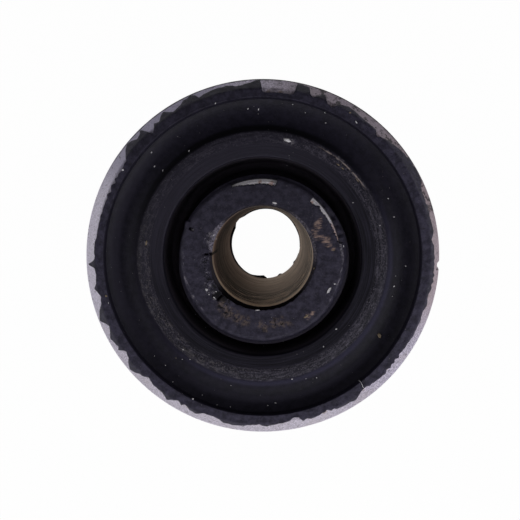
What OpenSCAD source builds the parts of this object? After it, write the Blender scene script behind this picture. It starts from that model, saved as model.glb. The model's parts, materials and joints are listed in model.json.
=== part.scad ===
// Bonded rubber bushing, standing on its lower end with the axis along Z.
// A thick inner sleeve takes the bolt, a thin outer sleeve is pressed into an eye,
// and one rubber moulding is bonded between them. At the used upper end the rubber
// flash over the outer sleeve is ragged and the skin over the inner sleeve is torn.

/* [Inner sleeve] */
// Diameter of the bolt bore
bore_d = 12.1; // [8.2:0.1:14.2]
// Outside diameter of the inner sleeve
inner_d = 18.8; // [16.5:0.1:20]
// How far the inner sleeve stands out of the outer sleeve at each end
inner_stand = 0.5; // [0.2:0.1:5]
// Chamfer at each mouth of the bore
mouth_chamfer = 0.35; // [0.2:0.05:0.8]
// Chamfer round the outside of each end
rim_chamfer = 0.5; // [0.2:0.05:0.8]

/* [Outer sleeve] */
// Outside diameter of the outer sleeve
outer_d = 43; // [40:0.1:60]
// Wall of the outer sleeve
outer_wall = 2.4; // [1.6:0.05:3]
// Length of the outer sleeve
outer_l = 43; // [34:0.5:60]
// Width of the lead-in chamfer, across the wall
lead_w = 1.4; // [0.5:0.05:1.8]
// Length of the lead-in chamfer, along the sleeve
lead_l = 1.5; // [0.8:0.05:3]

/* [Rubber over the inner sleeve] */
// Thickness of the skin over the ends and the side of the inner sleeve
skin_t = 0.3; // [0.2:0.05:0.6]
// Rounding of the skin's rim
skin_round = 0.45; // [0.2:0.05:0.6]
// Width of the deep groove round the skin
groove_w = 2.25; // [1.6:0.05:2.6]
// Width of the ledge at the foot of the skin, inside the groove
ledge_w = 1.15; // [0.4:0.05:1.3]
// Drop of the hollow fillet from the skin's rim to the ledge
ledge_drop = 1.3; // [0.6:0.1:2.4]
// Depth of the groove below the ridge
groove_depth = 8.5; // [3:0.1:14]

/* [Rubber ridge and channel] */
// Height of the ridge above the end of the outer sleeve
ridge_rise = 0.2; // [0:0.05:1]
// Width of the ridge's flat top
ridge_flat_w = 1.55; // [0.8:0.05:2]
// Width of the ridge's rounded outer shoulder
ridge_round_w = 1.55; // [0.6:0.05:1.8]
// Fall of the rounded shoulder
ridge_fall = 0.35; // [0.2:0.05:1.2]
// Steepness of the round channel at the ridge, in degrees
channel_in_angle = 55; // [30:1:70]
// Steepness of the round channel at the outer sleeve, in degrees
channel_out_angle = 33; // [10:1:60]

/* [Rubber flash over the outer sleeve] */
// Thickness of the rubber coat inside the outer sleeve, above the channel
coat_t = 0.15; // [0.1:0.05:0.4]
// Rounding where the coat turns over into the flash
flash_turn = 0.1; // [0.05:0.05:0.2]
// Thickness of the flash where it turns over
flash_root_t = 0.4; // [0.2:0.05:0.6]
// Thickness of the flash at the chamfer's upper edge
flash_edge_t = 0.25; // [0.1:0.05:0.4]
// Thickness of the flash at its outer end
flash_tip_t = 0.12; // [0.05:0.01:0.2]
// Width of the band at the sleeve's edge in which the ragged end of the flash runs
flash_band = 2.6; // [1.6:0.1:2.6]
// Share of the chamfer that the plain flash of the lower end covers
flash_plain = 0.3; // [0.05:0.05:0.9]

/* [Tears in the upper skin] */
// How far the tears reach down the side of the inner sleeve
tear_depth = 1.1; // [0.6:0.05:2]

/* [Hidden] */
$fn = 96;

inner_l = outer_l + 2 * inner_stand;
bore_r = bore_d / 2;
mouth_r = bore_r + mouth_chamfer;
inner_r = inner_d / 2;
outer_r = outer_d / 2;
sleeve_in_r = outer_r - outer_wall;
land_r = outer_r - lead_w;
skin_r = inner_r + skin_t;
ridge_in_r = skin_r + groove_w;
ridge_crest_r = ridge_in_r + ridge_flat_w;
ridge_out_r = ridge_crest_r + ridge_round_w;
groove_floor_r = (groove_w - ledge_w) / 2;
coat_r = sleeve_in_r - coat_t;
channel_r = (coat_r - ridge_out_r) / (sin(channel_in_angle) + sin(channel_out_angle));

// Heights above the middle of the bushing
inner_end = inner_l / 2;
outer_end = outer_l / 2;
skin_end = inner_end + skin_t;
ridge_end = outer_end + ridge_rise;
shoulder_end = ridge_end - ridge_fall;
flash_end = outer_end + flash_root_t;
groove_floor = ridge_end - groove_depth + groove_floor_r;

// Outer edge of the ragged flash, as an angle and a share of the band that it covers.
// Tongues reach towards 1 and torn scallops fall below 0.5.
flash_edge = [
    [0, 0.66], [6, 0.54], [9, 0.73], [24, 0.68], [26, 0.94], [35, 0.95], [39, 0.81], [43, 0.60],
    [47, 0.37], [50, 0.58], [55, 0.58], [61, 0.76], [66, 0.29], [69, 0.76], [73, 0.41], [75, 0.91],
    [78, 0.90], [79, 0.31], [90, 0.29], [91, 0.96], [94, 0.97], [97, 0.87], [110, 0.84], [112, 0.67],
    [114, 0.96], [121, 0.62], [125, 0.91], [128, 0.64], [132, 0.37], [135, 0.88], [137, 0.73],
    [141, 0.95], [146, 0.41], [149, 0.29], [152, 0.41], [170, 0.41], [175, 0.45], [180, 0.52],
    [183, 0.91], [187, 0.48], [191, 0.71], [194, 0.44], [202, 0.95], [205, 0.51], [208, 0.82],
    [211, 0.62], [213, 0.76], [216, 0.41], [220, 0.91], [226, 0.37], [228, 0.54], [233, 0.54],
    [236, 0.79], [239, 0.38], [241, 0.58], [243, 0.42], [247, 0.67], [251, 0.44], [254, 0.45],
    [260, 0.70], [268, 0.48], [271, 0.60], [275, 0.48], [281, 0.25], [284, 0.56], [288, 0.54],
    [292, 0.37], [297, 0.57], [303, 0.65], [307, 0.37], [311, 0.42], [316, 0.52], [324, 0.48],
    [330, 0.49], [334, 0.58], [341, 0.52], [343, 0.64], [347, 0.55], [351, 0.68]
];

// Tears at the rim of the upper skin: first angle, last angle, width of bared end face
skin_tears = [
    [81, 113, 0.45],
    [10, 48, 0.30]
];

function polar(r, a) = [r * cos(a), r * sin(a)];

// Points on an arc about a centre, from one angle to another
function arc(centre, r, from, to, steps) =
    [for (i = [0:steps]) centre + polar(r, from + (to - from) * i / steps)];

// Height of the lead-in chamfer at a radius
function chamfer_height(r) = outer_end - lead_l * (r - land_r) / lead_w;

// Part of an ellipse from the ridge's crest down to its outer edge
shoulder_bend = 45;
function shoulder(steps) =
    [for (i = [0:steps - 1])
        [ridge_crest_r + ridge_round_w * sin(shoulder_bend * i / steps) / sin(shoulder_bend),
         ridge_end - ridge_fall * (1 - cos(shoulder_bend * i / steps)) / (1 - cos(shoulder_bend))]];

// Hollow fillet from the skin's rim out to the edge of the ledge
function ledge(steps) =
    [for (i = [1:steps])
        [skin_r + ledge_w * (1 - cos(90 * i / steps)),
         skin_end - skin_round - ledge_drop * sin(90 * i / steps)]];

// Hollow of the channel, an arc from the ridge's outer edge to the coat on the outer sleeve
function channel(steps) =
    arc([ridge_out_r + channel_r * sin(channel_in_angle), shoulder_end + channel_r * cos(channel_in_angle)],
        channel_r, 270 - channel_in_angle, 270 + channel_out_angle, steps);

// Half section of the rubber's upper end, from the inner sleeve's side to the outer sleeve's
function rubber_end(flash_r) = concat(
    [[inner_r, inner_end - rim_chamfer],
     [inner_r - rim_chamfer, inner_end],
     [mouth_r, inner_end],
     [mouth_r, skin_end]],
    arc([skin_r - skin_round, skin_end - skin_round], skin_round, 90, 0, 6),
    ledge(8),
    arc([ridge_in_r - groove_floor_r, groove_floor], groove_floor_r, 180, 360, 16),
    [[ridge_in_r, ridge_end]],
    shoulder(7),
    channel(20),
    [[coat_r, flash_end - flash_turn],
     [coat_r + flash_turn, flash_end],
     [land_r, outer_end + flash_edge_t],
     [flash_r, chamfer_height(flash_r) + flash_tip_t],
     [flash_r, chamfer_height(flash_r)],
     [land_r, outer_end],
     [sleeve_in_r, outer_end]]
);

// The same section turned over for the lower end, so that a whole outline can be closed
function turned_over(points) =
    [for (i = [len(points) - 1:-1:0]) [points[i][0], -points[i][1]]];

// Revolve a half section about the axis and stand it on the lower end of the skin
module revolved(points) {
    translate([0, 0, skin_end])
        rotate_extrude()
            polygon(points);
}

// What is missing outside the ragged edge of the upper flash
module flash_losses() {
    outline = [for (p = flash_edge) polar(outer_r - flash_band * (1 - p[1]), p[0])];
    translate([0, 0, skin_end + outer_end - lead_l - flash_tip_t])
        linear_extrude(lead_l + flash_tip_t + flash_root_t + skin_t)
            difference() {
                circle(r = outer_r + outer_wall);
                polygon(outline);
            }
}

// Pieces of skin torn from the upper rim of the inner sleeve
module skin_losses() {
    for (tear = skin_tears)
        translate([0, 0, skin_end + inner_end - tear_depth])
            rotate([0, 0, tear[0]])
                rotate_extrude(angle = tear[1] - tear[0])
                    translate([inner_r - rim_chamfer - tear[2], 0])
                        square([rim_chamfer + tear[2] + skin_t + groove_w / 4, tear_depth + 2 * skin_t]);
}

// Steel tube that is pressed into the eye, with a lead-in chamfer at each end
module outer_sleeve() {
    upper = [
        [sleeve_in_r, outer_end],
        [land_r, outer_end],
        [outer_r, outer_end - lead_l]
    ];
    color([0.66, 0.63, 0.68])
        revolved(concat(upper, turned_over(upper)));
}

// Rubber moulding with its ridges, grooves, skins and flash
module rubber_body() {
    color([0.12, 0.12, 0.14])
        difference() {
            revolved(concat(
                rubber_end(outer_r - flash_tip_t / 4),
                turned_over(rubber_end(land_r + lead_w * flash_plain))
            ));
            flash_losses();
            skin_losses();
        }
}

// Thick steel tube with the bolt bore
module inner_sleeve() {
    upper = [
        [bore_r, inner_end - mouth_chamfer],
        [mouth_r, inner_end],
        [inner_r - rim_chamfer, inner_end],
        [inner_r, inner_end - rim_chamfer]
    ];
    color([0.33, 0.29, 0.26])
        revolved(concat(upper, turned_over(upper)));
}

outer_sleeve();
rubber_body();
inner_sleeve();
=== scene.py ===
"""Used bonded rubber bushing standing on its end: two steel sleeves and the worn rubber between them."""
import json
import math

import bpy
import numpy as np
from mathutils import Matrix, Vector, noise
from mathutils.bvhtree import BVHTree

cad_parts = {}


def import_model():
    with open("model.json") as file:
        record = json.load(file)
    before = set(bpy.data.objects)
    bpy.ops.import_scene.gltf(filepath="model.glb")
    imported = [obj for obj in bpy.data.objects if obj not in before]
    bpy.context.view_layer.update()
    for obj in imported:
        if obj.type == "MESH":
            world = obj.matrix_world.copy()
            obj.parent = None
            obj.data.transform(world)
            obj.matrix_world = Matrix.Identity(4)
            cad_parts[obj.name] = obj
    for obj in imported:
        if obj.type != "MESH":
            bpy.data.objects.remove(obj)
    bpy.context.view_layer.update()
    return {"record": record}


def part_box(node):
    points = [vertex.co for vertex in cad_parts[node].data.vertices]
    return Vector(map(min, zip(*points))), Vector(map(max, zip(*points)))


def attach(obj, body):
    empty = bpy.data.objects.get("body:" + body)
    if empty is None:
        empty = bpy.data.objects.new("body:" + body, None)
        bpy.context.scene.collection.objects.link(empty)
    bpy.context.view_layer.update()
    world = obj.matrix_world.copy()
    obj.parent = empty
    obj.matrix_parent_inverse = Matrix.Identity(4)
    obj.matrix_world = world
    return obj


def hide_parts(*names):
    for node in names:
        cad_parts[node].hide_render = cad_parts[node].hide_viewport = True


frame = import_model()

# Sizes in millimetres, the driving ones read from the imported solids
MM = 0.001
OUTER_LOW, OUTER_HIGH = [[c / MM for c in corner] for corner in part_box("outer_sleeve")]
INNER_LOW, INNER_HIGH = [[c / MM for c in corner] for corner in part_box("inner_sleeve")]
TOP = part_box("rubber_body")[1][2] / MM
BORE_R = next(m for m in frame["record"]["mounts"] if m["name"] == "bolt_bore")["dims"]["r_mm"]
OUTER_R = OUTER_HIGH[0]
OUTER_START, OUTER_END = OUTER_LOW[2], OUTER_HIGH[2]
INNER_R = INNER_HIGH[0]
INNER_START, INNER_END = INNER_LOW[2], INNER_HIGH[2]

# Sleeve ends
MOUTH_CHAMFER = 0.35
RIM_CHAMFER = 0.5
OUTER_WALL = 2.4
LEAD_W = 1.4
LEAD_L = 1.5
MOUTH_R = BORE_R + MOUTH_CHAMFER
MOUTH_Z = INNER_END - MOUTH_CHAMFER
SLEEVE_IN_R = OUTER_R - OUTER_WALL
LAND_R = OUTER_R - LEAD_W

# Rubber section
SKIN_T = TOP - INNER_END
SKIN_ROUND = 0.45
GROOVE_W = 2.25
LEDGE_W = 1.15
LEDGE_DROP = 1.3
GROOVE_DEPTH = 8.5
RIDGE_RISE = 0.2
RIDGE_FLAT_W = 1.55
RIDGE_ROUND_W = 1.55
RIDGE_FALL = 0.35
RIDGE_SLOPE = 0.16
CHANNEL_IN_ANGLE = math.radians(55)
CHANNEL_OUT_ANGLE = math.radians(33)
COAT_T = 0.15
FLASH_TURN = 0.1
FLASH_ROOT_T = 0.4
FLASH_EDGE_T = 0.25
FLASH_TIP_T = 0.12
FLASH_PLAIN = 0.3
SKIN_R = INNER_R + SKIN_T
RIDGE_IN_R = SKIN_R + GROOVE_W
RIDGE_CREST_R = RIDGE_IN_R + RIDGE_FLAT_W
RIDGE_OUT_R = RIDGE_CREST_R + RIDGE_ROUND_W
RIDGE_END = OUTER_END + RIDGE_RISE
SHOULDER_END = RIDGE_END - RIDGE_FALL
SHOULDER_BEND = math.radians(45)
COAT_R = SLEEVE_IN_R - COAT_T
CHANNEL_R = (COAT_R - RIDGE_OUT_R) / (math.sin(CHANNEL_IN_ANGLE) + math.sin(CHANNEL_OUT_ANGLE))
CHANNEL_MID_R = RIDGE_OUT_R + CHANNEL_R * math.sin(CHANNEL_IN_ANGLE)
CHANNEL_MID_Z = SHOULDER_END + CHANNEL_R * math.cos(CHANNEL_IN_ANGLE)
COAT_FOOT = CHANNEL_MID_Z - CHANNEL_R * math.cos(CHANNEL_OUT_ANGLE)
FLASH_IN_R = COAT_R + FLASH_TURN
GROOVE_FLOOR_R = (GROOVE_W - LEDGE_W) / 2
GROOVE_FLOOR_Z = RIDGE_END - GROOVE_DEPTH + GROOVE_FLOOR_R

# How far the rubber's hidden bonded faces are sunk into the steel
BOND_SINK = 0.12
# How far the worn skin lies below the moulding's full height
SKIN_LOW = 0.04
# How far bare places of the skin drop below the steel
BARE_SINK = 0.06
# How far the underside of the flash and the lips of the skin are bedded in the steel
BED = 0.02
# How far below the outer sleeve's end its bonded wall starts
BOND_START = 0.6
# Raggedness of the torn edges: flash and tears in pixels of the photo, mouth in millimetres
FLASH_RAGGED = 0.5
TEAR_RAGGED = 0.4
MOUTH_RAGGED = 0.03

# Camera, from where circles on the axis lie in the photo
PHOTO_SIZE = 520
PHOTO_MIDDLE = PHOTO_SIZE / 2
MOUTH_PIXEL = (262.6, 256.4)
MOUTH_PIXEL_R = 50.6
VANISHING_PIXEL = (270.4, 212.9)
VIEW_HEIGHT = 97.15
TILT_SHARE = 0.15
SENSOR = 36.0
MOUTH_SCALE = MOUTH_PIXEL_R / BORE_R
FOCAL = MOUTH_SCALE * VIEW_HEIGHT
EYE = Vector(((VANISHING_PIXEL[0] - MOUTH_PIXEL[0]) / MOUTH_SCALE,
              (MOUTH_PIXEL[1] - VANISHING_PIXEL[1]) / MOUTH_SCALE, MOUTH_Z + VIEW_HEIGHT))
AIM_PIXEL = [v + (PHOTO_MIDDLE - v) * TILT_SHARE for v in VANISHING_PIXEL]
AHEAD = Vector(((AIM_PIXEL[0] - VANISHING_PIXEL[0]) / FOCAL,
                (VANISHING_PIXEL[1] - AIM_PIXEL[1]) / FOCAL, -1.0)).normalized()
RIGHT = AHEAD.cross(Vector((0, 1, 0))).normalized()
UP = RIGHT.cross(AHEAD)

# Edges chosen on the photo: angle on the screen in degrees, clockwise from the right,
# and distance from the axis in pixels. First the ragged outer edge of the flash
FLASH_SEEN = [
    (0, 171.9), (8, 172.4), (12, 171.5), (13, 170.1), (17, 171.7), (19, 169.7), (23, 170.6), (29, 170.3),
    (31, 169.5), (36, 168.9), (41, 168.9), (43, 169.7), (46, 169.5), (49, 168.3), (52, 166.7),
    (54, 167.4), (55.5, 170.1), (57, 171.9), (59, 170.8), (62.5, 170.8), (65, 169.4), (68, 166.9),
    (70, 169.2), (72.5, 169.9), (74.7, 169), (76.2, 169.9), (77.5, 165.5), (78.7, 163.7), (80.6, 166.9),
    (82.5, 168.3), (85, 168.7), (88.7, 170.8), (91.2, 168.9), (93.7, 169.5), (96.2, 171), (100, 172.2),
    (103.5, 171.5), (105, 169.2), (107, 168), (110.6, 168), (112.9, 171.8), (115.6, 170.8),
    (116.9, 168.3), (117.7, 167.5), (118.7, 170.6), (119.7, 168), (120.6, 167.5), (122.2, 170.3),
    (123.5, 173.6), (126.2, 169.9), (130.6, 169.2), (133.1, 166.5), (134.7, 169.2), (136.9, 172.4),
    (139.4, 175.3), (141.2, 172.9), (142.9, 168.3), (144.7, 166.7), (146, 168.7), (146.9, 172.9),
    (148.1, 170.6), (150, 172.7), (151.5, 173.9), (153.5, 171), (155.4, 168.7), (156.9, 171.5),
    (158.1, 176), (161.2, 172.9), (163.7, 168.3), (165.9, 166.9), (167.5, 168.7), (169, 171.9),
    (170.6, 169.2), (173.7, 167.8), (176, 168.7), (176.9, 174.2), (177.5, 174.7), (178.1, 171),
    (179, 168.3), (180, 168), (181.5, 168.9), (185, 168.6), (186.2, 167.4), (195, 166.7), (202.5, 166.2),
    (210.6, 165.7), (211.6, 163.5), (212.5, 166), (215, 166.5), (216.2, 169.7), (217.5, 173.3),
    (219.4, 175.8), (221.2, 174.7), (223.1, 171.5), (224.7, 173.3), (225.6, 176), (226.5, 172.9),
    (227.7, 167.4), (228.2, 163.7), (229.4, 167.4), (230.6, 171.5), (231.5, 170.3), (232.5, 169.7),
    (233.7, 172.9), (235.6, 175.1), (237.1, 171.5), (238.5, 169.7), (240.6, 171.5), (243.1, 174.2),
    (245.6, 176), (247.2, 174.7), (248.1, 170.6), (250, 172.4), (255, 173.9), (258, 173.7),
    (262.5, 171.9), (266.2, 174.2), (268.1, 176), (269.4, 176), (269.8, 164.6), (271.2, 163.7),
    (275, 164.4), (280, 164.2), (280.8, 165.1), (281.5, 175.6), (285.6, 175.1), (286.5, 168.3),
    (287.5, 166.6), (289.4, 170.6), (291.2, 173.3), (291.9, 170.1), (293.1, 165.5), (294.4, 164.4),
    (295.6, 166), (296.9, 169.7), (299.4, 172.4), (303.1, 171.5), (306.2, 170.1), (311.9, 169.9),
    (312.7, 166.9), (313.7, 165.5), (315, 168.3), (316.9, 170.1), (320, 172.4), (322.5, 173.9),
    (325, 175.1), (327.5, 176), (331.2, 176.5), (335, 175.6), (336.2, 172.9), (338.1, 171.7),
    (342.5, 172.2), (347.5, 171.9), (351.9, 172.9), (353.1, 171.5), (354.4, 169.7), (356.5, 171.8),
]
# Outer rim of the skin, which is moulded off centre and torn thin at the top
RIM_SEEN = [
    (0, 82), (28, 82), (37, 83.2), (50, 84), (90, 84.4), (125, 84.2), (137, 83.2), (150, 82.3),
    (180, 82.5), (198, 82.6), (203, 84.4), (205, 84.6), (206, 81), (217, 80.4), (230, 79.4), (234, 79),
    (247, 79), (270, 79.4), (292, 79), (305, 79.2), (317, 80), (330, 80.5), (347, 80.6), (354, 81.4),
]
# Outer edge of the ledge in the groove, which runs out where the skin is thin
LEDGE_SEEN = [
    (0, 86.8), (30, 87.4), (60, 88.4), (90, 88.8), (125, 88), (150, 86.6), (168, 85.2), (182, 83.8),
    (203, 83.2), (215, 82.4), (250, 82), (285, 82), (312, 82.6), (330, 83.8), (345, 85.6),
]
# Torn edge of the skin round the mouth of the bore
MOUTH_SEEN = [
    (0, 54.2), (12, 54.4), (20, 53.4), (40, 53.2), (60, 53.8), (90, 53.7), (120, 54.4), (133, 55),
    (140, 55), (147, 54.8), (156, 54.4), (164, 53.8), (172, 53.2), (178, 53), (186, 53.6), (191, 56),
    (205, 56), (212, 55.2), (221, 53.8), (228, 52.8), (250, 52.4), (275, 52.4), (300, 53.2), (318, 54.2),
    (340, 54.6), (352, 54.6),
]
# Torn skin that overhangs the bore's far mouth, measured about that mouth. The bare bore shows from 35
FAR_MOUTH_SEEN = [
    (0, 34.6), (10, 35), (30, 34.7), (33, 34.1), (38, 35), (60, 35), (65, 34), (70, 35), (86, 35),
    (89, 34), (92, 32.4), (97, 32.8), (107, 33.7), (114, 34.4), (125, 34.3), (140, 33.9), (160, 33.5),
    (180, 33.1), (200, 32.8), (207, 32.8), (211, 34), (215, 35), (223, 35), (226, 34.7), (230, 33.9),
    (234, 33.6), (250, 33.8), (270, 34), (285, 34.3), (300, 34.3), (315, 34.2), (330, 34), (340, 34.1),
    (350, 34.5),
]
FAR_BARE = 34.9
# Tears at the rim: distance from the axis, in pixels, out to which skin is left on the end face
TEARS_SEEN = [
    [(246.3, 77.2), (248, 75.4), (254, 73.4), (262, 72.2), (270, 72.6), (276, 71.6), (280, 71.2),
     (280.8, 75)],
    [(310.4, 75), (311, 71.6), (315, 72.4), (317.5, 74.8), (319, 75.4), (320.5, 73.6), (328, 74.4),
     (334, 74.8), (341, 75.4), (348.6, 76.4), (350.2, 79)],
]
# How far the tears reach down the groove's wall
TEAR_DOWN = 0.9
# Radius that stands for a rim with no tear
WHOLE_SKIN = 99.0
# Slits through the skin: screen angle, first and last distance in pixels, half width in degrees
SLITS_SEEN = [(182.5, 50, 58.5, 1.3), (136.3, 53, 63, 1.7), (201, 74, 79, 1.2)]
# Rough places on the skin: screen angle, distance in pixels, reach and share
ROUGH_SEEN = [(146, 63, 1.1, 1.0), (124, 66, 1.5, 0.6), (200, 54, 0.9, 0.7), (160, 58, 0.9, 0.5)]


def seen_reach(pixels, height):
    """Distance from the axis, in millimetres, of something seen at a height."""
    return pixels * (EYE.z - height) / FOCAL


def seen_place(angle, pixels, height):
    """Point of the model for a screen angle and a distance from the axis in pixels."""
    a = math.radians(-angle)
    reach = seen_reach(pixels, height)
    return (reach * math.cos(a), reach * math.sin(a), height)


def link_object(name, mesh):
    """Make an object at the origin from a mesh and add it to the scene."""
    made = bpy.data.objects.new(name, mesh)
    bpy.context.scene.collection.objects.link(made)
    return made


def mesh_from(name, points, faces, edges=()):
    """Make a mesh from points in millimetres."""
    mesh = bpy.data.meshes.new(name)
    mesh.from_pydata([tuple(c * MM for c in p) for p in points], edges, faces)
    mesh.update()
    return mesh


# Short calls for building node trees
class Wiring:
    """One node tree, with a call for each kind of node that the finishes use."""

    def __init__(self, tree):
        self.tree = tree

    def fill(self, socket, value):
        """Link an output to a socket, or set the socket's own value. Colours are opaque."""
        if isinstance(value, bpy.types.NodeSocket):
            self.tree.links.new(value, socket)
        elif socket.type == "RGBA":
            socket.default_value = (*value, 1.0)
        else:
            socket.default_value = value

    def put(self, kind, fills=None, **options):
        """Add a node, set its options, and fill each input with a value or a link."""
        made = self.tree.nodes.new(kind)
        for name, value in options.items():
            setattr(made, name, value)
        for key, value in (fills or {}).items():
            self.fill(made.inputs[key], value)
        return made

    def maths(self, operation, a, b=0.0, c=0.0):
        return self.put("ShaderNodeMath", {0: a, 1: b, 2: c}, operation=operation).outputs[0]

    def times(self, *factors):
        """Product of several values."""
        product = factors[0]
        for factor in factors[1:]:
            product = self.maths("MULTIPLY", product, factor)
        return product

    def most(self, *masks):
        """The greatest of several masks."""
        whole = masks[0]
        for mask in masks[1:]:
            whole = self.maths("MAXIMUM", whole, mask)
        return whole

    def vector(self, operation, a, b=(0.0, 0.0, 0.0), scale=1.0):
        made = self.put("ShaderNodeVectorMath", {0: a, 1: b, 3: scale}, operation=operation)
        return made.outputs["Value" if operation in ("LENGTH", "DISTANCE", "DOT_PRODUCT") else "Vector"]

    def combine(self, x, y, z):
        return self.put("ShaderNodeCombineXYZ", {0: x, 1: y, 2: z}).outputs[0]

    def separate(self, vector):
        return self.put("ShaderNodeSeparateXYZ", {0: vector}).outputs

    def noise_node(self, vector, scale, detail, rough, distortion):
        return self.put("ShaderNodeTexNoise", {
            "Vector": vector, "Scale": scale, "Detail": detail,
            "Roughness": rough, "Distortion": distortion})

    def grain(self, vector, scale, detail=4.0, rough=0.55, distortion=0.0):
        """Noise from 0 to 1 with about that many features for each unit of length."""
        return self.noise_node(vector, scale, detail, rough, distortion).outputs["Fac"]

    def span(self, value, low, high, out_low=0.0, out_high=1.0):
        """Smooth step from one level to another."""
        return self.put("ShaderNodeMapRange", {
            "Value": value, "From Min": low, "From Max": high,
            "To Min": out_low, "To Max": out_high}, interpolation_type="SMOOTHSTEP").outputs[0]

    def band(self, value, low, high, soft):
        """1 between two levels, with soft sides."""
        rise = self.span(value, low - soft, low + soft)
        fall = self.span(value, high - soft, high + soft, 1.0, 0.0)
        return self.maths("MULTIPLY", rise, fall)

    def blend(self, factor, a, b):
        """Mix two colours."""
        made = self.put("ShaderNodeMix", data_type="RGBA")
        for number, value in ((0, factor), (6, a), (7, b)):
            self.fill(made.inputs[number], value)
        return made.outputs[2]

    def layers(self, colour, *laid):
        """Lay tones over a colour in turn, each through the mask that says where it shows."""
        for mask, tone in laid:
            colour = self.blend(mask, colour, tone)
        return colour


class Finish(Wiring):
    """A procedural material on Object coordinates, measured in millimetres."""

    def __init__(self, name):
        self.material = bpy.data.materials.new(name)
        self.material.use_nodes = True
        super().__init__(self.material.node_tree)
        self.tree.nodes.clear()
        place = self.put("ShaderNodeTexCoord").outputs["Object"]
        self.place = self.vector("SCALE", place, scale=1.0 / MM)
        self.x, self.y, self.z = self.separate(self.place)
        flat = self.combine(self.x, self.y, 0.0)
        self.radius = self.vector("LENGTH", flat)
        self.around = self.vector("NORMALIZE", flat)

    def even_grain(self, scale, detail=4.0, rough=0.55, distortion=0.0):
        """Noise over the surface with about that many features a millimetre."""
        return self.grain(self.place, scale, detail, rough, distortion)

    def ring_grain(self, along, across, height=0.0, detail=4.0, rough=0.55):
        """Noise drawn out round the axis, by features along, across and up."""
        x, y, _ = self.separate(self.vector("SCALE", self.around, scale=along))
        up = self.maths("MULTIPLY_ADD", self.z, height, self.maths("MULTIPLY", self.radius, across))
        return self.grain(self.combine(x, y, up), 1.0, detail, rough)

    def warped(self, scale, amount):
        """Places pushed about by noise, so that stains lose their round outline."""
        push = self.noise_node(self.place, scale, 4.0, 0.6, 0.0).outputs["Color"]
        push = self.vector("SCALE", self.vector("SUBTRACT", push, (0.5, 0.5, 0.5)), scale=amount)
        return self.vector("ADD", self.place, push)

    def side(self, angle, low, high, out_low=0.0, out_high=1.0):
        """Smooth step towards the side at a screen angle, where the level is 1; it is -1 opposite."""
        a = math.radians(-angle)
        level_round = self.vector("DOT_PRODUCT", self.around, (math.cos(a), math.sin(a), 0.0))
        return self.span(level_round, low, high, out_low, out_high)

    def spots(self, vector, height, seen, soft=0.7):
        """1 near places at a height, falling to 0 at each reach: screen angle, pixels and reach."""
        masks = []
        for angle, pixels, reach in seen:
            away = self.vector("DISTANCE", vector, seen_place(angle, pixels, height))
            masks.append(self.span(away, reach * (1.0 - soft), reach, 1.0, 0.0))
        return self.most(*masks)

    def surface(self, colour, roughness, bumps, **constants):
        """Finish with a shader. Each bump is a height from 0 to 1 and its depth in millimetres."""
        fills = {"Base Color": colour, "Roughness": roughness}
        for name, value in constants.items():
            fills[name.replace("_", " ").title().replace("Ior", "IOR")] = value
        for height, depth in bumps:
            bump = {"Height": height, "Strength": 1.0, "Distance": depth * MM}
            if "Normal" in fills:
                bump["Normal"] = fills["Normal"]
            fills["Normal"] = self.put("ShaderNodeBump", bump).outputs[0]
        shader = self.put("ShaderNodeBsdfPrincipled", fills)
        self.put("ShaderNodeOutputMaterial", {"Surface": shader.outputs[0]})
        return self.material


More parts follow.
